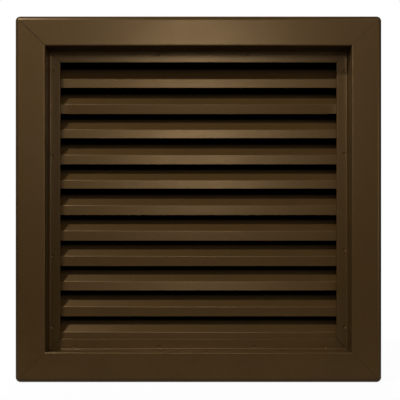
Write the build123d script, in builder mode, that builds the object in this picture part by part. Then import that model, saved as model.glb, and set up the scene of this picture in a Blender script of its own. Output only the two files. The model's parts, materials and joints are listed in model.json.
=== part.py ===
from build123d import *
from math import atan2, cos, degrees, floor, radians, tan
import os

# Door louver. A front and a rear frame, folded from sheet steel and mitred at the corners, clamp the edge of a
# door's cut-out between them. A core of fixed inverted-Y blades in a channel frame stands between the two.
# Millimetres. X runs to the right, Y from the front face to the back, Z up, from the centre of the louver.

# The door and the hole cut in it
door_thickness = 44.45
cutout_width = 304.8
cutout_height = 304.8
cutout_clearance = 2.3

# Frame legs: rolled outer edge, flange, recess wall and ledge, all one sheet
frame_sheet = 1.2
flange_overlap = 26.3
flange_standoff = 8.0
edge_roll_radius = 5.0
recess_depth = 19.05
recess_bend_radius = 1.4
ledge_bend_radius = 1.5
ledge_width = 10.8
outline_corner_radius = 4.0
mitre_gap = 0.25

# Spot welds, each a shallow round dent in the front ledge
weld_count = 4
weld_end_margin = 23.0
weld_wall_margin = 2.7
weld_dent_diameter = 3.0
weld_floor_diameter = 1.4
weld_dent_depth = 0.25
weld_dent_sides = 12

# Core channels, open towards the blades
core_sheet = 1.2
core_bend_radius = 2.0
core_setback = 1.0

# Blades, each one folded sheet with a doubled stem
blade_sheet = 0.9
blade_pitch = 25.4
blade_lip = 9.2
blade_leg_angle = 49.0
blade_sight_overlap = 3.3
blade_crease_radius = 1.4
blade_stem_bend_radius = 1.0
blade_hem_radius = 0.8
blade_side_clearance = 0.15
blade_end_clearance = 0.25
sill_reveal = 6.4

# Pan-head screws that hold the rear frame to the core's side channels
screws_per_jamb = 2
screw_diameter = 3.0
screw_head_diameter = 6.0
screw_head_height = 1.9
screw_head_chamfer = 0.8
screw_hole_clearance = 0.2

# Depths, measured from the middle of the door
door_face = door_thickness / 2
flange_face = door_face + flange_standoff
ledge_face = flange_face - recess_depth
core_face = ledge_face - frame_sheet
blade_face = core_face - core_sheet - blade_side_clearance

# Half widths and half heights, measured from the centre of the louver
core_half_width = cutout_width / 2 - cutout_clearance
core_half_height = cutout_height / 2 - cutout_clearance
overall_width = cutout_width + 2 * flange_overlap
overall_height = cutout_height + 2 * flange_overlap
ledge_half_width = core_half_width - frame_sheet - ledge_width
ledge_half_height = core_half_height - frame_sheet - ledge_width

# The four sides of a frame. In a side's plane x is the depth, y points away from the centre and z runs along it.
depth = Axis.Y.direction
head = Plane((0, 0, 0), x_dir=depth, z_dir=(1, 0, 0))
right = Plane((0, 0, 0), x_dir=depth, z_dir=(0, 0, -1))
sill = Plane((0, 0, 0), x_dir=depth, z_dir=(-1, 0, 0))
left = Plane((0, 0, 0), x_dir=depth, z_dir=(0, 0, 1))


def mitre_cuts(side, reach, run):
    """The planes that cut a leg's two ends at 45 degrees, each half a joint short of the corner's diagonal."""
    cuts = []
    for end in (1, -1):
        outward = (side.z_dir * end - side.y_dir).normalized()
        corner = side.from_local_coords(Vector(0, reach, end * run))
        cuts.append(Plane(corner - outward * mitre_gap / 2, x_dir=side.x_dir, z_dir=outward))
    return cuts


def frame_section(reach, wall, facing):
    """The folded section of a frame leg: facing is -1 for the front frame and 1 for the rear one."""
    with BuildSketch(mode=Mode.PRIVATE) as section:
        with BuildLine():
            FilletPolyline(
                (facing * door_face, reach),
                (facing * flange_face, reach),
                (facing * flange_face, wall),
                (facing * ledge_face, wall),
                (facing * ledge_face, wall - ledge_width),
                radius=(edge_roll_radius, recess_bend_radius, ledge_bend_radius),
            )
            offset(amount=frame_sheet, side=Side.LEFT if facing < 0 else Side.RIGHT)
        make_face()
    return section.sketch


def channel_section(back):
    """The U section of a core channel, open towards the centre of the louver."""
    flange_edge = back - frame_sheet - ledge_width + core_setback
    with BuildSketch(mode=Mode.PRIVATE) as section:
        with BuildLine():
            FilletPolyline(
                (-core_face, flange_edge),
                (-core_face, back),
                (core_face, back),
                (core_face, flange_edge),
                radius=core_bend_radius,
            )
            offset(amount=core_sheet, side=Side.RIGHT)
        make_face()
    return section.sketch


# Blades: the lowest lip tucks in behind the sill's ledge, and as many follow upwards as the core has room for
blade_gap = blade_pitch - blade_lip
stem_rise = blade_gap + blade_sight_overlap
leg_slope = tan(radians(blade_leg_angle))
leg_rise = (blade_face - blade_sheet) * leg_slope
leg_underside = blade_sheet * (leg_slope - 1 / cos(radians(blade_leg_angle)))
lowest_crease = sill_reveal - ledge_half_height
stem_room = core_half_height - core_sheet - stem_rise - lowest_crease
blade_count = floor(stem_room / blade_pitch) + 1
blade_length = 2 * (core_half_width - core_bend_radius - blade_end_clearance)
creases = [lowest_crease + blade_pitch * step for step in reversed(range(blade_count))]

# Screws: on the middle of the rear ledge's flat, each in a gap between two blades
screw_reach = ledge_half_width + (ledge_width - ledge_bend_radius) / 2
screw_length = frame_sheet + core_sheet + blade_face / 2
screw_gaps = [round(step * (blade_count - 2) / (screws_per_jamb - 1)) for step in range(screws_per_jamb)]
screw_heights = [creases[gap + 1] + blade_gap / 2 for gap in screw_gaps]
right_screws = [(screw_reach, height) for height in screw_heights]
left_screws = [(-screw_reach, height) for height in screw_heights]
screw_hole_radius = (screw_diameter + screw_hole_clearance) / 2

sides = [
    ("head", head, cutout_height, cutout_width, []),
    ("sill", sill, cutout_height, cutout_width, []),
    ("left_jamb", left, cutout_width, cutout_height, left_screws),
    ("right_jamb", right, cutout_width, cutout_height, right_screws),
]

os.makedirs("parts", exist_ok=True)

# Cutter for one spot-weld dent, a shallow pocket with sloping sides that sinks below z = 0
weld_slope = degrees(atan2((weld_dent_diameter - weld_floor_diameter) / 2, weld_dent_depth))
with BuildPart() as weld_dent:
    with BuildSketch():
        RegularPolygon(weld_dent_diameter / 2, weld_dent_sides)
    extrude(amount=-weld_dent_depth, taper=weld_slope)

# Front and rear frame legs
for facing, frame_name in ((-1, "front"), (1, "rear")):
    for side_name, side, across, along, screws in sides:
        reach = across / 2 + flange_overlap
        run = along / 2 + flange_overlap
        wall = across / 2 - cutout_clearance - frame_sheet
        weld_span = 2 * (along / 2 - cutout_clearance - frame_sheet - weld_end_margin)

        with BuildPart(side) as leg:
            with BuildSketch(side):
                add(frame_section(reach, wall, facing))
            extrude(amount=run, both=True)
            for cut in mitre_cuts(side, reach, run):
                split(bisect_by=cut, keep=Keep.BOTTOM)
            with BuildSketch(Plane.XZ):
                RectangleRounded(overall_width, overall_height, outline_corner_radius)
            extrude(amount=flange_face, both=True, mode=Mode.INTERSECT)
            if facing < 0:
                for step in range(weld_count):
                    spot = (-ledge_face, wall - weld_wall_margin, weld_span * (step / (weld_count - 1) - 0.5))
                    with Locations(Plane(spot, z_dir=(-1, 0, 0))):
                        add(weld_dent.part, mode=Mode.SUBTRACT)
            elif screws:
                with BuildSketch(Plane.XZ.offset(-ledge_face)):
                    with Locations(*screws):
                        Circle(screw_hole_radius)
                extrude(amount=frame_sheet, mode=Mode.SUBTRACT)
        leg.part.label = f"{frame_name}_{side_name}"
        export_step(leg.part, f"parts/{leg.part.label}.step")

# Core channels
for side_name, side, across, along, screws in sides:
    back = across / 2 - cutout_clearance
    run = along / 2 - cutout_clearance

    with BuildPart(side) as channel:
        with BuildSketch(side):
            add(channel_section(back))
        extrude(amount=run, both=True)
        for cut in mitre_cuts(side, back, run):
            split(bisect_by=cut, keep=Keep.BOTTOM)
        if screws:
            with BuildSketch(Plane.XZ.offset(-core_face)):
                with Locations(*screws):
                    Circle(screw_hole_radius)
            extrude(amount=core_sheet, mode=Mode.SUBTRACT)
    channel.part.label = f"core_{side_name}_channel"
    export_step(channel.part, f"parts/{channel.part.label}.step")

# Blades, numbered from the top. The front lip, leg and half of the stem are drawn, and the rest is their mirror.
for number, crease in enumerate(creases, start=1):
    blade_plane = Plane((0, 0, crease), x_dir=depth, z_dir=(1, 0, 0))

    with BuildPart() as blade:
        with BuildSketch(blade_plane):
            with BuildLine():
                FilletPolyline(
                    (0, stem_rise),
                    (-blade_sheet, stem_rise),
                    (-blade_sheet, leg_rise),
                    (-blade_face, 0),
                    (-blade_face, -blade_lip),
                    radius=(blade_hem_radius, blade_stem_bend_radius, blade_crease_radius),
                )
                Line((-blade_face, -blade_lip), (blade_sheet - blade_face, -blade_lip))
                FilletPolyline(
                    (blade_sheet - blade_face, -blade_lip),
                    (blade_sheet - blade_face, leg_underside),
                    (0, leg_underside + leg_rise),
                    radius=(blade_crease_radius - blade_sheet,),
                )
                mirror(about=Plane.YZ)
            make_face()
        extrude(amount=blade_length / 2, both=True)
    blade.part.label = f"blade_{number:02d}"
    export_step(blade.part, f"parts/{blade.part.label}.step")

# Screws, made once with the head up and set into the rear ledge
with BuildPart() as screw:
    with BuildSketch():
        Circle(screw_head_diameter / 2)
    extrude(amount=screw_head_height)
    chamfer(screw.edges().group_by(Axis.Z)[-1], screw_head_chamfer)
    with BuildSketch():
        Circle(screw_diameter / 2)
    extrude(amount=-screw_length)

screw_seats = [
    Plane((across, ledge_face, height), z_dir=depth).location for across, height in left_screws + right_screws
]
with BuildPart() as rear_frame_screws:
    with Locations(*screw_seats):
        add(screw.part)
rear_frame_screws.part.label = "rear_frame_screws"
export_step(rear_frame_screws.part, "parts/rear_frame_screws.step")
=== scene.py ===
import json
import math
from contextlib import contextmanager

import bmesh
import bpy
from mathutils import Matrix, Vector


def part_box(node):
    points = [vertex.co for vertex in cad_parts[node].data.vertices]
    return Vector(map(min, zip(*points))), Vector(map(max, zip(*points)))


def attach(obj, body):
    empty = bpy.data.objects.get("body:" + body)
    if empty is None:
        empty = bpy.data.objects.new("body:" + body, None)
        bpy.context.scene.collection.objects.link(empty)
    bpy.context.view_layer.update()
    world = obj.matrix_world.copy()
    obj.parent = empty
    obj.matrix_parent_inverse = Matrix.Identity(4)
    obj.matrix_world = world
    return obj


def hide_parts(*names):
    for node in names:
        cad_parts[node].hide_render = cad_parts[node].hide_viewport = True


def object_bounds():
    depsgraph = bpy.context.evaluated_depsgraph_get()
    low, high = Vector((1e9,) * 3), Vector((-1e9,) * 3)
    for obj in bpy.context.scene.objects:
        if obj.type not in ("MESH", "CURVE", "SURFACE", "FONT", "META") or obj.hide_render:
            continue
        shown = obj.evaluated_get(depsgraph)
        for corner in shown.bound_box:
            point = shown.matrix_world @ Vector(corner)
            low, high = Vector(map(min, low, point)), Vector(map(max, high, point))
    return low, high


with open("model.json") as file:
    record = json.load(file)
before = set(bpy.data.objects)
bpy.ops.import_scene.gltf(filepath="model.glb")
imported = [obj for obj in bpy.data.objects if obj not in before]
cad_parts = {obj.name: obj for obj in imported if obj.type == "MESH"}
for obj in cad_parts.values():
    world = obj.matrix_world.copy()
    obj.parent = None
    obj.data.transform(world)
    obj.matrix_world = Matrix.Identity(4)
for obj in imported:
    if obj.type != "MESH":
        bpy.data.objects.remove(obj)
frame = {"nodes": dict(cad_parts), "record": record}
cad_box = [list(corner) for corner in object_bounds()]


# Bronze enamel: a satin, oven-baked paint over the phosphated steel of every piece. It is a dark warm brown,
# a little uneven in colour and gloss, with the fine orange peel that sprayed enamel dries to.
def noise(tree, place, scale, detail, roughness):
    """A noise texture on the given coordinates, as its 0 to 1 factor."""
    texture = tree.nodes.new("ShaderNodeTexNoise")
    texture.inputs["Scale"].default_value = scale
    texture.inputs["Detail"].default_value = detail
    texture.inputs["Roughness"].default_value = roughness
    tree.links.new(place, texture.inputs["Vector"])
    return texture.outputs["Fac"]


def spread(tree, value, span, result_span):
    """Maps a value from one span to another and holds it there."""
    ramp = tree.nodes.new("ShaderNodeMapRange")
    for socket, number in zip(("From Min", "From Max", "To Min", "To Max"), (*span, *result_span)):
        ramp.inputs[socket].default_value = number
    tree.links.new(value, ramp.inputs["Value"])
    return ramp.outputs["Result"]


def combine(tree, operation, first, second=None):
    """A Math node on one or two values."""
    step = tree.nodes.new("ShaderNodeMath")
    step.operation = operation
    tree.links.new(first, step.inputs[0])
    if second is not None:
        tree.links.new(second, step.inputs[1])
    return step.outputs[0]


def scale_colour(tree, colour, factor):
    """Makes a colour lighter or darker by a factor that varies over the piece."""
    scaled = tree.nodes.new("ShaderNodeVectorMath")
    scaled.operation = "SCALE"
    tree.links.new(colour, scaled.inputs[0])
    tree.links.new(factor, scaled.inputs["Scale"])
    return scaled.outputs[0]


enamel_mottle = bpy.data.node_groups.new("enamel_mottle", "ShaderNodeTree")
for name, direction, kind in (
    ("Colour", "INPUT", "NodeSocketColor"),
    ("Gloss Roughness", "INPUT", "NodeSocketFloat"),
    ("Mottled Colour", "OUTPUT", "NodeSocketColor"),
    ("Roughness", "OUTPUT", "NodeSocketFloat"),
    ("Peel Height", "OUTPUT", "NodeSocketFloat"),
):
    enamel_mottle.interface.new_socket(name=name, in_out=direction, socket_type=kind)
given = enamel_mottle.nodes.new("NodeGroupInput").outputs
result = enamel_mottle.nodes.new("NodeGroupOutput").inputs
place = enamel_mottle.nodes.new("ShaderNodeTexCoord").outputs["Object"]
noise_span = (0.3, 0.7)
cloud = noise(enamel_mottle, place, scale=26.0, detail=4.0, roughness=0.6)
speckle = noise(enamel_mottle, place, scale=420.0, detail=2.0, roughness=0.5)
peel = noise(enamel_mottle, place, scale=900.0, detail=2.0, roughness=0.45)
cloud_shade = spread(enamel_mottle, cloud, noise_span, (-0.09, 0.09))
speckle_shade = spread(enamel_mottle, speckle, noise_span, (0.95, 1.05))
cloud_gloss = spread(enamel_mottle, cloud, noise_span, (0.03, -0.03))
shade = combine(enamel_mottle, "ADD", cloud_shade, speckle_shade)
uneven_gloss = combine(enamel_mottle, "ADD", given["Gloss Roughness"], cloud_gloss)
enamel_mottle.links.new(scale_colour(enamel_mottle, given["Colour"], shade), result["Mottled Colour"])
enamel_mottle.links.new(uneven_gloss, result["Roughness"])
enamel_mottle.links.new(peel, result["Peel Height"])

enamel_colour = (0.0558, 0.0298, 0.0094, 1.0)
gloss_tint = (1.0, 0.67, 0.35, 1.0)
peel_depth = 0.00002
satin_roughness = 0.31
core_roughness = 0.45


def bronze_enamel(name, roughness):
    """The enamel as a material, at one gloss."""
    material = bpy.data.materials.new(name)
    material.use_nodes = True
    tree = material.node_tree
    paint = tree.nodes["Principled BSDF"].inputs
    paint["Specular Tint"].default_value = gloss_tint
    mottle = tree.nodes.new("ShaderNodeGroup")
    mottle.name = "mottle"
    mottle.node_tree = enamel_mottle
    mottle.inputs["Colour"].default_value = enamel_colour
    mottle.inputs["Gloss Roughness"].default_value = roughness
    bump = tree.nodes.new("ShaderNodeBump")
    bump.inputs["Distance"].default_value = peel_depth
    tree.links.new(mottle.outputs["Mottled Colour"], paint["Base Color"])
    tree.links.new(mottle.outputs["Roughness"], paint["Roughness"])
    tree.links.new(mottle.outputs["Peel Height"], bump.inputs["Height"])
    tree.links.new(bump.outputs["Normal"], paint["Normal"])
    return material


frame_enamel = bronze_enamel("frame_enamel_paint", satin_roughness)
core_enamel = bronze_enamel("core_enamel_paint", core_roughness)


# Mitre line: the paint pools in the open mitre joints, where the louver's diagonals run, and leaves a fine
# dark line there. It is strongest at the upper left corner and on the ledges, inside the recess.
def point_axes(tree):
    """The X, Y and Z of a point, in the frame that all the pieces share."""
    axes = tree.nodes.new("ShaderNodeSeparateXYZ")
    tree.links.new(tree.nodes.new("ShaderNodeTexCoord").outputs["Object"], axes.inputs[0])
    return axes.outputs


def shade_by(material, factor):
    """Scales the paint's colour by a factor that varies over the piece."""
    tree = material.node_tree
    colour = scale_colour(tree, tree.nodes["mottle"].outputs["Mottled Colour"], factor)
    tree.links.new(colour, tree.nodes["Principled BSDF"].inputs["Base Color"])


line_fade = (0.0002, 0.0008)
middle_fade = (-0.05, 0.05)
ledge_fade = (0.1478, 0.1488)
line_strength = (0.25, 0.85)
zero_to_one = (0.0, 1.0)
one_to_zero = (1.0, 0.0)
mitre_line = bpy.data.node_groups.new("mitre_line", "ShaderNodeTree")
mitre_line.interface.new_socket(name="Clear Of Joint", in_out="OUTPUT", socket_type="NodeSocketFloat")
point = point_axes(mitre_line)
from_upright = combine(mitre_line, "ABSOLUTE", point["X"])
from_level = combine(mitre_line, "ABSOLUTE", point["Z"])
from_joint = combine(mitre_line, "ABSOLUTE", combine(mitre_line, "SUBTRACT", from_upright, from_level))
pooled = spread(mitre_line, from_joint, line_fade, one_to_zero)
on_left = spread(mitre_line, point["X"], middle_fade, one_to_zero)
on_top = spread(mitre_line, point["Z"], middle_fade, zero_to_one)
on_ledge = spread(mitre_line, from_upright, ledge_fade, one_to_zero)
plainest = combine(mitre_line, "MAXIMUM", combine(mitre_line, "MULTIPLY", on_left, on_top), on_ledge)
strength = spread(mitre_line, plainest, zero_to_one, line_strength)
clear = spread(mitre_line, combine(mitre_line, "MULTIPLY", strength, pooled), zero_to_one, one_to_zero)
mitre_line.links.new(clear, mitre_line.nodes.new("NodeGroupOutput").inputs["Clear Of Joint"])
joint = frame_enamel.node_tree.nodes.new("ShaderNodeGroup")
joint.node_tree = mitre_line
shade_by(frame_enamel, joint.outputs["Clear Of Joint"])

# Front frame: four legs, each folded from one strip of 1.2 mm steel into a rolled outer edge, a flange, a
# recess wall and a ledge. They are mitred and joined at the corners, and their ledges are spot-welded to the
# core.
sheet = 0.0012
head_low, head_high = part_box("front_head")
reach = head_high.z
flange_face = head_low.y
ledge_face = head_high.y - sheet
ledge_edge = head_low.z
recess_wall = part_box("core_head_channel")[1].z - sheet
door_face = next(
    mount["pos_m"][1] for mount in frame["record"]["mounts"] if mount["name"] == "front_frame_on_door"
)
edge_roll_radius = 0.005
recess_bend_radius = 0.0014
ledge_bend_radius = 0.0015
roll_segments = 10
bend_segments = 8
mitre_gap = 0.00004
sheet_edge_round = 0.00018
sheet_edge_angle = math.radians(50)
smooth_angle = math.radians(35)
ledge_edge_round = 0.00055
square_bend = math.pi / 2
upright = (math.pi / 2, 0, 0)
hair = 0.00002


@contextmanager
def edit_mode():
    """Opens the active piece for editing and closes it again."""
    bpy.ops.object.mode_set(mode="EDIT")
    yield
    bpy.ops.object.mode_set(mode="OBJECT")


def start_piece(name):
    """Names the primitive just added and puts its place, turn and size into its mesh."""
    piece = bpy.context.object
    piece.name = name
    piece.data.name = name
    bpy.ops.object.transform_apply(location=True, rotation=True, scale=True)
    return piece


def pick_edges(piece, wanted):
    """Selects, in edit mode, the edges whose middle and direction pass the test."""
    bpy.ops.mesh.select_mode(type="EDGE")
    bpy.ops.mesh.select_all(action="DESELECT")
    mesh = bmesh.from_edit_mesh(piece.data)
    for edge in mesh.edges:
        first, last = (vertex.co for vertex in edge.verts)
        if wanted((first + last) / 2, (last - first).normalized()):
            edge.select_set(True)
    mesh.select_flush_mode()
    bmesh.update_edit_mesh(piece.data)


def near(value, target):
    return abs(value - target) < hair


def runs_along(direction, axis):
    nearly_parallel = 0.99
    return abs(direction[axis]) > nearly_parallel


def round_edges(piece, wanted, width, segments):
    """Rounds, in edit mode, the edges that pass the test, starting that far from each."""
    pick_edges(piece, wanted)
    bpy.ops.mesh.bevel(offset=width, segments=segments, profile=0.5, affect="EDGES")


def fold_at(piece, y, z, radius, turn, segments):
    """Rounds the fold that runs along X at that depth and height, where the sheet bends by the angle turn."""
    round_edges(
        piece,
        lambda middle, way: runs_along(way, 0) and near(middle.y, y) and near(middle.z, z),
        radius * math.tan(turn / 2),
        segments,
    )


def pull_edge(step):
    """Extrudes the selected edge into the next face of the folded sheet."""
    bpy.ops.mesh.extrude_region_move(TRANSFORM_OT_translate={"value": step})


def add_modifier(piece, kind, **settings):
    """Adds a modifier with these settings and applies it."""
    bpy.context.view_layer.objects.active = piece
    modifier = piece.modifiers.new(kind.lower(), kind)
    for setting, value in settings.items():
        setattr(modifier, setting, value)
    bpy.ops.object.modifier_apply(modifier=modifier.name)


def cut_by(piece, tool, operation):
    """Cuts a piece by a tool, or keeps what lies inside the tool, and takes the tool away."""
    add_modifier(piece, "BOOLEAN", operation=operation, solver="EXACT", object=tool)
    bpy.data.objects.remove(tool)


def select_only(piece):
    bpy.ops.object.select_all(action="DESELECT")
    piece.select_set(True)
    bpy.context.view_layer.objects.active = piece


def copy_piece(piece, name):
    """A copy with a mesh of its own, selected and active."""
    select_only(piece)
    bpy.ops.object.duplicate()
    copy = bpy.context.object
    copy.name = name
    copy.data.name = name
    return copy


def turn_to_side(piece, turns, facing=1):
    """Turns a piece about the louver's middle by quarter turns. A facing of -1 mirrors it to the back."""
    select_only(piece)
    piece.rotation_euler = (0, turns * math.pi / 2, 0)
    piece.scale = (1, facing, 1)
    bpy.ops.object.transform_apply(location=False, rotation=True, scale=True)
    if facing < 0:
        with edit_mode():
            bpy.ops.mesh.select_all(action="SELECT")
            bpy.ops.mesh.normals_make_consistent(inside=False)


def finish_sheet(piece, material):
    """Rounds the cut edges of the sheet, smooths the folds and hands the piece over."""
    select_only(piece)
    add_modifier(
        piece, "BEVEL", width=sheet_edge_round, segments=2, limit_method="ANGLE", angle_limit=sheet_edge_angle
    )
    bpy.ops.object.shade_smooth_by_angle(angle=smooth_angle)
    add_modifier(piece, "WEIGHTED_NORMAL", keep_sharp=True, weight=100)
    piece.data.materials.clear()
    piece.data.materials.append(material)
    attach(piece, "root")


# The strip starts as the flange, a flat plate. The rolled edge's return is pulled from its outer edge, and
# the recess wall and the ledge from its inner one. The ledge's cut edge is rubbed round.
bpy.ops.object.select_all(action="DESELECT")
bpy.ops.mesh.primitive_plane_add(
    size=1, location=(0, flange_face, (reach + recess_wall) / 2), rotation=upright
)
bpy.context.object.scale = (2 * reach, reach - recess_wall, 1)
leg = start_piece("frame_leg")
with edit_mode():
    pick_edges(leg, lambda middle, way: near(middle.z, reach))
    pull_edge((0, door_face - flange_face, 0))
    pick_edges(leg, lambda middle, way: near(middle.z, recess_wall))
    pull_edge((0, ledge_face - flange_face, 0))
    pull_edge((0, 0, ledge_edge - recess_wall))
    fold_at(leg, flange_face, reach, edge_roll_radius, square_bend, roll_segments)
    fold_at(leg, flange_face, recess_wall, recess_bend_radius, square_bend, bend_segments)
    fold_at(leg, ledge_face, recess_wall, ledge_bend_radius, square_bend, bend_segments)
add_modifier(leg, "SOLIDIFY", thickness=sheet, offset=-1, use_even_offset=True)
with edit_mode():
    round_edges(
        leg,
        lambda middle, way: runs_along(way, 0) and near(middle.z, ledge_edge),
        ledge_edge_round,
        segments=4,
    )

# Both ends of the strip are cut at 45 degrees, half a joint short of the corner's diagonal.
with edit_mode():
    for end in (1, -1):
        outward = Vector((end, 0, -1)).normalized()
        corner = Vector((end * reach, 0, reach))
        bpy.ops.mesh.select_all(action="SELECT")
        bpy.ops.mesh.bisect(
            plane_co=corner - outward * mitre_gap / 2, plane_no=outward, use_fill=True, clear_outer=True
        )

# The welded corners are ground round, so every leg is trimmed to one block, a hair larger than the frame,
# with the rolled edge's radius on its front edges and its four corners.
bpy.ops.object.select_all(action="DESELECT")
bpy.ops.mesh.primitive_cube_add(size=1, location=(0, (flange_face - hair) / 2, 0))
bpy.context.object.scale = (2 * (reach + hair), hair - flange_face, 2 * (reach + hair))
outline_block = start_piece("outline_block")
with edit_mode():
    round_edges(
        outline_block,
        lambda middle, way: runs_along(way, 1) or middle.y < flange_face,
        edge_roll_radius,
        roll_segments,
    )
cut_by(leg, outline_block, "INTERSECT")

# Each leg is a turn of the first one about the middle of the louver. Its spot welds are shallow round dents
# in the ledge, about 4 mm across and 0.4 mm deep, at the places listed along it.
weld_radius = 0.0021
weld_bulge = 0.0007
weld_lift = 0.0003
weld_wall_margin = 0.0027
weld_places = {
    "head": (-0.126, -0.0405, 0.0486, 0.1258),
    "right_jamb": (-0.130, -0.047, 0.049, 0.126),
    "sill": (-0.1268, -0.0557, 0.039, 0.1237),
    "left_jamb": (-0.126, -0.055, 0.045, 0.1296),
}
quarter_turns = {"head": 0, "right_jamb": 1, "sill": 2, "left_jamb": 3}
for side, turns in quarter_turns.items():
    piece = copy_piece(leg, f"front_{side}_leg")
    for weld in weld_places[side]:
        bpy.ops.object.select_all(action="DESELECT")
        bpy.ops.mesh.primitive_uv_sphere_add(
            segments=40,
            ring_count=24,
            radius=1,
            location=(weld, ledge_face - weld_lift, recess_wall - weld_wall_margin),
            rotation=upright,
        )
        bpy.context.object.scale = (weld_radius, weld_radius, weld_bulge)
        cut_by(piece, start_piece("weld_electrode"), "DIFFERENCE")
    turn_to_side(piece, turns)
    finish_sheet(piece, frame_enamel)
    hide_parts(f"front_{side}")

# Core: four channels folded from the same 1.2 mm sheet, mitred into a frame that holds the ends of the
# blades. They are enamelled like the rest and show only from the edge, between the two frames.
for side in quarter_turns:
    channel = frame["nodes"][f"core_{side}_channel"]
    channel.data.materials.clear()
    channel.data.materials.append(core_enamel)

# Blades: each is one 0.9 mm sheet, folded into an inverted Y with a front lip, a leg, a doubled stem, a rear
# leg and a rear lip. Its ends are held between the flanges of the side channels. No two lips are bent or cut
# quite alike: a lip leans by so many degrees, and its edge is trimmed shorter or left longer.
blade_sheet = 0.00088
blade_names = sorted(name for name in frame["nodes"] if name.startswith("blade_"))
blade_low, blade_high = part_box(blade_names[0])
blade_face = blade_high.y
blade_lip = 0.0092
leg_angle = math.radians(49)
stem_half = 0.0009
leg_depth = blade_face - stem_half
leg_rise = leg_depth * math.tan(leg_angle)
leg_turn = math.pi / 2 - leg_angle
stem_rise = blade_high.z - blade_low.z - blade_lip
crease_radius = 0.0014
stem_bend_radius = 0.001
hem_radius = 0.000895
fold_segments = 6
lip_leans = (-3.6, 8, -2, 0, -1.2, -0.3, 0, 2, -4.2, 4.8, -1.5)
lip_trims = (0.0003, -0.0002, 0.0007, -0.0001, 0.0009, -0.0002, -0.0005, -0.0006, 0.0004, -0.0003, 0)
lowest_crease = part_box(blade_names[-1])[0].z + blade_lip
blade_pitch = blade_low.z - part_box(blade_names[1])[0].z

# Painted shade on the stem, deep between the blades: its colour is darkened almost to black, and it is made
# metallic and rough so that it shows no reflection either. From the top of the legs a painted glow fades up
# into this shadow over a few millimetres.
stem_shadow_shade = 0.012
stem_foot_glow_shade = 0.45
stem_foot_glow_rise = 0.0035
metal_until_shade = 0.3
stem_foot = lowest_crease + leg_rise
stem_shadow_fade = (0.0011, 0.0024)
blade_enamel = bronze_enamel("blade_enamel_paint", satin_roughness)
tree = blade_enamel.node_tree
paint = tree.nodes["Principled BSDF"].inputs
point = point_axes(tree)
# Painted shadow: the stem, near the blade's middle, is darkened almost to black.
clear_of_stem = spread(tree, combine(tree, "ABSOLUTE", point["Y"]), stem_shadow_fade, (stem_shadow_shade, 1.0))
level = tree.nodes.new("ShaderNodeMath")
level.operation = "WRAP"
level.inputs[1].default_value = lowest_crease + blade_pitch
level.inputs[2].default_value = lowest_crease
tree.links.new(point["Z"], level.inputs[0])
stem_foot_glow_fade = (stem_foot, stem_foot + stem_foot_glow_rise)
# Painted light: a glow at the foot of the stem, fading upwards into the painted shadow.
stem_foot_glow = spread(tree, level.outputs[0], stem_foot_glow_fade, (stem_foot_glow_shade, stem_shadow_shade))
painted_stem_shade = combine(tree, "MAXIMUM", clear_of_stem, stem_foot_glow)
shade_by(blade_enamel, painted_stem_shade)
dull = spread(tree, clear_of_stem, (stem_shadow_shade, 1.0), one_to_zero)
tree.links.new(combine(tree, "MAXIMUM", tree.nodes["mottle"].outputs["Roughness"], dull), paint["Roughness"])
tree.links.new(spread(tree, painted_stem_shade, (stem_shadow_shade, metal_until_shade), one_to_zero), paint["Metallic"])

# The sheet starts as the front lip, and every other face is pulled from the last one's edge.
bpy.ops.object.select_all(action="DESELECT")
bpy.ops.mesh.primitive_plane_add(size=1, location=(0, -blade_face, -blade_lip / 2), rotation=upright)
bpy.context.object.scale = (blade_high.x - blade_low.x, blade_lip, 1)
blade = start_piece("blade")
with edit_mode():
    pick_edges(blade, lambda middle, way: near(middle.z, 0))
    pull_edge((0, leg_depth, leg_rise))
    pull_edge((0, 0, stem_rise - leg_rise))
    pull_edge((0, 2 * stem_half, 0))
    pull_edge((0, 0, leg_rise - stem_rise))
    pull_edge((0, leg_depth, -leg_rise))
    pull_edge((0, 0, -blade_lip))
    for facing in (-1, 1):
        fold_at(blade, facing * blade_face, 0, crease_radius, leg_turn, fold_segments)
        fold_at(blade, facing * stem_half, leg_rise, stem_bend_radius, leg_turn, fold_segments)
        fold_at(blade, facing * stem_half, stem_rise, hem_radius, square_bend, fold_segments)
add_modifier(blade, "SOLIDIFY", thickness=blade_sheet, offset=-1, use_even_offset=True)

# The lip of a blade leans only between the side frames, so the sheet is divided at their edges and a little
# further in.
lip_lead = 0.009
pick_margin = 0.0001
lip_free = ledge_edge - lip_lead
with edit_mode():
    for station in (-ledge_edge, -lip_free, lip_free, ledge_edge):
        bpy.ops.mesh.select_all(action="SELECT")
        bpy.ops.mesh.bisect(plane_co=(station, 0, 0), plane_no=(1, 0, 0))


def pick_lip_edge(piece, height, half_length):
    """Selects, in edit mode, the front lip's lower edge at that height, as far out as half_length."""
    pick_edges(
        piece,
        lambda middle, way: middle.y < 0
        and middle.z < height + pick_margin
        and abs(middle.x) < half_length + pick_margin,
    )


for name, lean, trim in zip(blade_names, lip_leans, lip_trims):
    piece = copy_piece(blade, f"{name}_sheet")
    with edit_mode():
        pick_lip_edge(piece, -blade_lip, blade_high.x)
        bpy.ops.transform.translate(value=(0, 0, trim))
        pick_lip_edge(piece, trim - blade_lip, lip_free)
        bpy.ops.transform.translate(value=(0, blade_lip * math.sin(math.radians(lean)), 0))
    piece.location.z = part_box(name)[0].z + blade_lip
    bpy.ops.object.transform_apply(location=True, rotation=False, scale=False)
    finish_sheet(piece, blade_enamel)
    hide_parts(name)
bpy.data.objects.remove(blade)

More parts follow.
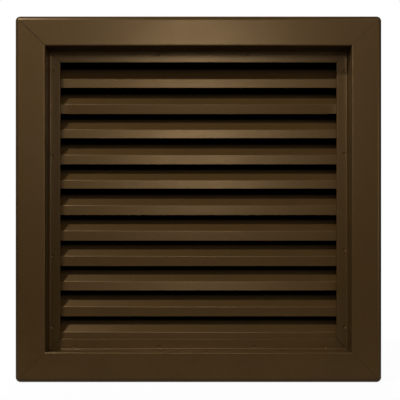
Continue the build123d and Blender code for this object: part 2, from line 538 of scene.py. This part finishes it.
# Corner welds: the bead that fills each mitred corner from inside. It is ground flush with the rolled edges,
# which leaves a ball-shaped corner, and is enamelled over with the legs.
bead_face = flange_face + hair
bead_middle = reach - edge_roll_radius
bpy.ops.object.select_all(action="DESELECT")
bpy.ops.mesh.primitive_cylinder_add(
    vertices=40,
    radius=edge_roll_radius,
    depth=door_face - bead_face,
    location=(bead_middle, (door_face + bead_face) / 2, bead_middle),
    rotation=upright,
)
corner_weld = start_piece("corner_weld")
with edit_mode():
    round_edges(
        corner_weld, lambda middle, way: near(middle.y, bead_face), edge_roll_radius - hair, roll_segments
    )
corners = ("upper_right", "lower_right", "lower_left", "upper_left")
for turns, corner in enumerate(corners):
    for face, facing in (("front", 1), ("rear", -1)):
        piece = copy_piece(corner_weld, f"{face}_{corner}_weld")
        turn_to_side(piece, turns, facing)
        finish_sheet(piece, frame_enamel)
bpy.data.objects.remove(corner_weld)

# Rear frame: the same four legs without the spot welds, mirrored to the back of the door. The door is clamped
# between the two frames.
for side, turns in quarter_turns.items():
    piece = copy_piece(leg, f"rear_{side}_leg")
    turn_to_side(piece, turns, facing=-1)
    finish_sheet(piece, frame_enamel)
    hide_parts(f"rear_{side}")
bpy.data.objects.remove(leg)

# Screws: four pan-head screws with a cross recess, enamelled with the rest. They hold the rear frame's ledge
# to the core's side channels, and each stops at a turn of its own.
screw_low, screw_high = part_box("rear_frame_screws")
rear_ledge = -ledge_face
screw_head_radius = 0.003
screw_head_height = screw_high.y - rear_ledge
screw_head_crown = 0.7 * screw_head_height
screw_radius = 0.0015
screw_length = rear_ledge - screw_low.y
recess_length = 0.0034
recess_width = 0.0008
recess_sink = 0.0011
recess_taper = 0.5
stop_turn_rate = 70.0
bpy.ops.object.select_all(action="DESELECT")
bpy.ops.mesh.primitive_cylinder_add(
    vertices=48, radius=screw_head_radius, depth=screw_head_height, location=(0, 0, screw_head_height / 2)
)
screw = start_piece("screw")
with edit_mode():
    round_edges(screw, lambda middle, way: near(middle.z, screw_head_height), screw_head_crown, segments=7)
    bpy.ops.mesh.select_all(action="DESELECT")
    bpy.ops.mesh.primitive_cylinder_add(
        vertices=32, radius=screw_radius, depth=screw_length, location=(0, 0, -screw_length / 2)
    )
for turn in (0, math.pi / 2):
    bpy.ops.object.select_all(action="DESELECT")
    bpy.ops.mesh.primitive_cube_add(size=1, location=(0, 0, screw_head_height), rotation=(0, 0, turn))
    bpy.context.object.scale = (recess_length, recess_width, 2 * recess_sink)
    driver_wing = start_piece("driver_wing")
    with edit_mode():
        pick_edges(driver_wing, lambda middle, way: middle.z < screw_head_height)
        bpy.ops.transform.resize(value=(recess_taper, recess_taper, 1))
    cut_by(screw, driver_wing, "DIFFERENCE")
screw_reach = screw_high.x - screw_head_radius
screw_heights = {"upper": screw_high.z - screw_head_radius, "lower": screw_low.z + screw_head_radius}
for side, across in (("left", -screw_reach), ("right", screw_reach)):
    for row, height in screw_heights.items():
        piece = copy_piece(screw, f"{side}_{row}_screw")
        piece.rotation_euler = (-math.pi / 2, stop_turn_rate * across * height, 0)
        piece.location = (across, rear_ledge, height)
        bpy.ops.object.transform_apply(location=True, rotation=True, scale=False)
        finish_sheet(piece, core_enamel)
        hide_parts("rear_frame_screws")
bpy.data.objects.remove(screw)


# Floor: a plain white sweep under the louver. It is white to the camera and a little dimmer in the louver's
# shadow, mirrors faintly in the paint, and throws little light back.
def mix_shaders(tree, factor, first, second):
    """A Mix Shader node, from the first shader at 0 to the second at 1."""
    mix = tree.nodes.new("ShaderNodeMixShader")
    tree.links.new(factor, mix.inputs["Fac"])
    tree.links.new(first.outputs[0], mix.inputs[1])
    tree.links.new(second.outputs[0], mix.inputs[2])
    return mix


def seen_plainly(tree, rays):
    """1 for the rays that see the background itself, from the camera or through glass."""
    return combine(tree, "MAXIMUM", rays["Is Camera Ray"], rays["Is Transmission Ray"])


floor_size = 8
floor_drop = 0.0005
shadow_range = (0.35, 1.0)
glow_share = (0.93, 1.0)
mirror_range = (0.2, 0.7)
mirror_strength = (0.42, 0.06)
bpy.ops.object.select_all(action="DESELECT")
bpy.ops.mesh.primitive_plane_add(size=floor_size, location=(0, 0, cad_box[0][2] - floor_drop))
floor = start_piece("floor")
floor_white = bpy.data.materials.new("floor_white")
floor_white.use_nodes = True
tree = floor_white.node_tree
tree.nodes.remove(tree.nodes["Principled BSDF"])
rays = tree.nodes.new("ShaderNodeLightPath").outputs
from_middle = tree.nodes.new("ShaderNodeVectorMath")
from_middle.operation = "LENGTH"
tree.links.new(tree.nodes.new("ShaderNodeTexCoord").outputs["Object"], from_middle.inputs[0])
away = from_middle.outputs["Value"]
shaded = tree.nodes.new("ShaderNodeBsdfDiffuse")
shaded.inputs["Color"].default_value = (0.8, 0.8, 0.8, 1)
glow = tree.nodes.new("ShaderNodeEmission")
glow.inputs["Strength"].default_value = 1.02
matte = tree.nodes.new("ShaderNodeBsdfDiffuse")
matte.inputs["Color"].default_value = (0.12, 0.12, 0.12, 1)
mirrored = tree.nodes.new("ShaderNodeEmission")
tree.links.new(spread(tree, away, mirror_range, mirror_strength), mirrored.inputs["Strength"])
plain = mix_shaders(tree, spread(tree, away, shadow_range, glow_share), shaded, glow)
bounced = mix_shaders(tree, rays["Is Glossy Ray"], matte, mirrored)
surface = mix_shaders(tree, seen_plainly(tree, rays), bounced, plain)
tree.links.new(surface.outputs[0], tree.nodes["Material Output"].inputs["Surface"])
floor.data.materials.append(floor_white)

# World: white where the camera looks past the louver. In the paint it mirrors as a dim room, a little paler
# in front of the louver than behind it.
front_range = (-0.95, -0.5)
room_strength = (0.09, 0.05)
world = bpy.data.worlds.new("studio")
bpy.context.scene.world = world
world.use_nodes = True
tree = world.node_tree
rays = tree.nodes.new("ShaderNodeLightPath").outputs
way = tree.nodes.new("ShaderNodeSeparateXYZ")
tree.links.new(tree.nodes.new("ShaderNodeTexCoord").outputs["Generated"], way.inputs[0])
room = spread(tree, way.outputs["Y"], front_range, room_strength)
mirrored_room = combine(tree, "MULTIPLY", rays["Is Glossy Ray"], room)
background = tree.nodes["Background"].inputs
background["Color"].default_value = (1, 1, 1, 1)
tree.links.new(combine(tree, "MAXIMUM", seen_plainly(tree, rays), mirrored_room), background["Strength"])


# Lamps: a small one from the upper left casts the crisp shadows on the blades, wide ones from the right
# soften them, and a weak one lifts the left edge. A narrow soft box above the camera mirrors in the head and
# in the lips of the upper blades, and two lamps behind light the back.
def soft_box(name, place, aim, width, height, watts):
    """A white soft box at that place, turned towards the point it lights."""
    light = bpy.data.lights.new(name, "AREA")
    light.shape = "RECTANGLE"
    light.size = width
    light.size_y = height
    light.energy = watts
    holder = bpy.data.objects.new(name, light)
    bpy.context.scene.collection.objects.link(holder)
    holder.location = place
    holder.rotation_euler = (Vector(aim) - Vector(place)).to_track_quat("-Z", "Y").to_euler()


centre = (0, 0, 0)
upper_middle = (0, 0, 0.1)
left_edge = (-0.17, 0, 0.1)
soft_box("key_left", (-0.55, -0.63, 0.91), centre, width=0.045, height=0.045, watts=10.0)
soft_box("fill_right", (0.95, -1.45, 1.35), centre, width=0.7, height=0.7, watts=3.7)
soft_box("low_right", (1.7, -1.5, 0.25), centre, width=0.9, height=0.9, watts=5.0)
soft_box("edge_left", (-0.85, -1.2, 0.45), left_edge, width=0.15, height=0.3, watts=0.6)
soft_box("sheen", (0, -1.36, 0.44), upper_middle, width=0.2, height=0.5, watts=4.3)
soft_box("back_left", (-0.35, 1.7, 0.55), centre, width=0.6, height=0.6, watts=14)
soft_box("back_right", (0.35, 1.7, 0.55), centre, width=0.6, height=0.6, watts=14)

# Camera: straight on, a little below the middle of the louver, with the picture shifted up instead of tilted
# so that the upright edges stay upright.
picture_px = 400
focal_px = 679.4
centre_px = (198.45, 260.37)
eye_distance = 0.660
eye_height = -0.05966
eye = bpy.data.cameras.new("camera")
eye.sensor_width = 36
eye.lens = eye.sensor_width * focal_px / picture_px
eye.shift_x = (picture_px / 2 - centre_px[0]) / picture_px
eye.shift_y = (centre_px[1] - picture_px / 2) / picture_px
camera = bpy.data.objects.new("camera", eye)
bpy.context.scene.collection.objects.link(camera)
camera.location = (0, flange_face - eye_distance, eye_height)
camera.rotation_euler = upright
bpy.context.scene.camera = camera
bpy.context.scene.view_settings.view_transform = "Standard"
